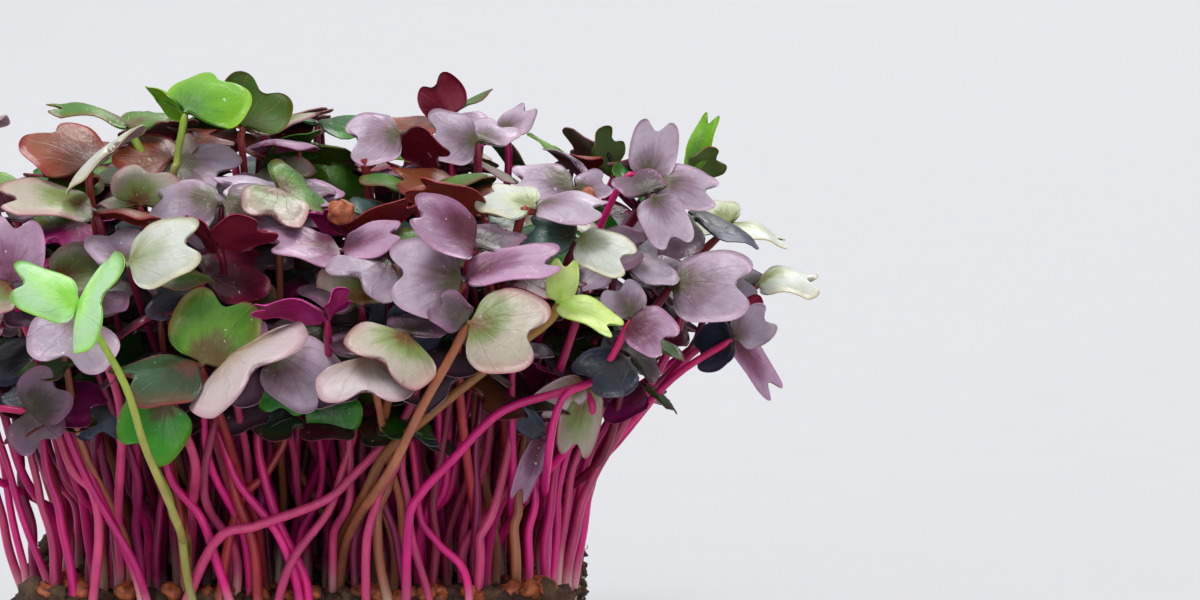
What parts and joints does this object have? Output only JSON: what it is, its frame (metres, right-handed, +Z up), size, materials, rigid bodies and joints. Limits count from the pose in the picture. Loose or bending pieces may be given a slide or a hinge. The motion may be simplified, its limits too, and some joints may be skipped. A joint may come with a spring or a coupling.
{
  "type": "radish microgreens tray",
  "caption": "Dense purple and green radish microgreens growing on a rounded block of compost in a shallow plain tray.",
  "frame": {"origin": "middle of the tray's flat underside", "axes": "+Z up along the stems, -Y towards the front of the picture"},
  "size_m": [0.1426, 0.1409, 0.1076],
  "materials": {
    "tray_plastic": "plain dark moulded plastic",
    "compost": "moist crumbly compost with roots and seeds",
    "seedlings": "smooth living leaves and stems"
  },
  "bodies": {
    "root": {"tray": "tray_plastic", "soil_block": "compost", "sprouts_01": "seedlings", "sprouts_02": "seedlings", "sprouts_03": "seedlings", "sprouts_04": "seedlings", "sprouts_05": "seedlings", "sprouts_06": "seedlings", "sprouts_07": "seedlings", "sprouts_08": "seedlings", "sprouts_09": "seedlings", "sprouts_10": "seedlings", "sprouts_11": "seedlings", "sprouts_12": "seedlings", "sprouts_13": "seedlings", "sprouts_14": "seedlings", "sprouts_15": "seedlings", "sprouts_16": "seedlings", "sprouts_17": "seedlings", "sprouts_18": "seedlings", "sprouts_19": "seedlings", "sprouts_20": "seedlings", "sprouts_21": "seedlings", "sprouts_22": "seedlings", "sprouts_23": "seedlings", "sprouts_24": "seedlings", "sprouts_25": "seedlings", "sprouts_26": "seedlings", "sprouts_27": "seedlings", "sprouts_28": "seedlings", "sprouts_29": "seedlings", "sprouts_30": "seedlings", "sprouts_31": "seedlings", "sprouts_32": "seedlings", "sprouts_33": "seedlings", "sprouts_34": "seedlings", "sprouts_35": "seedlings", "sprouts_36": "seedlings", "sprouts_37": "seedlings", "sprouts_38": "seedlings", "sprouts_39": "seedlings", "sprouts_40": "seedlings", "sprouts_41": "seedlings", "sprouts_42": "seedlings", "sprouts_43": "seedlings", "sprouts_44": "seedlings", "sprouts_45": "seedlings", "sprouts_46": "seedlings", "sprouts_47": "seedlings", "sprouts_48": "seedlings", "sprouts_49": "seedlings"}
  },
  "joints": []
}
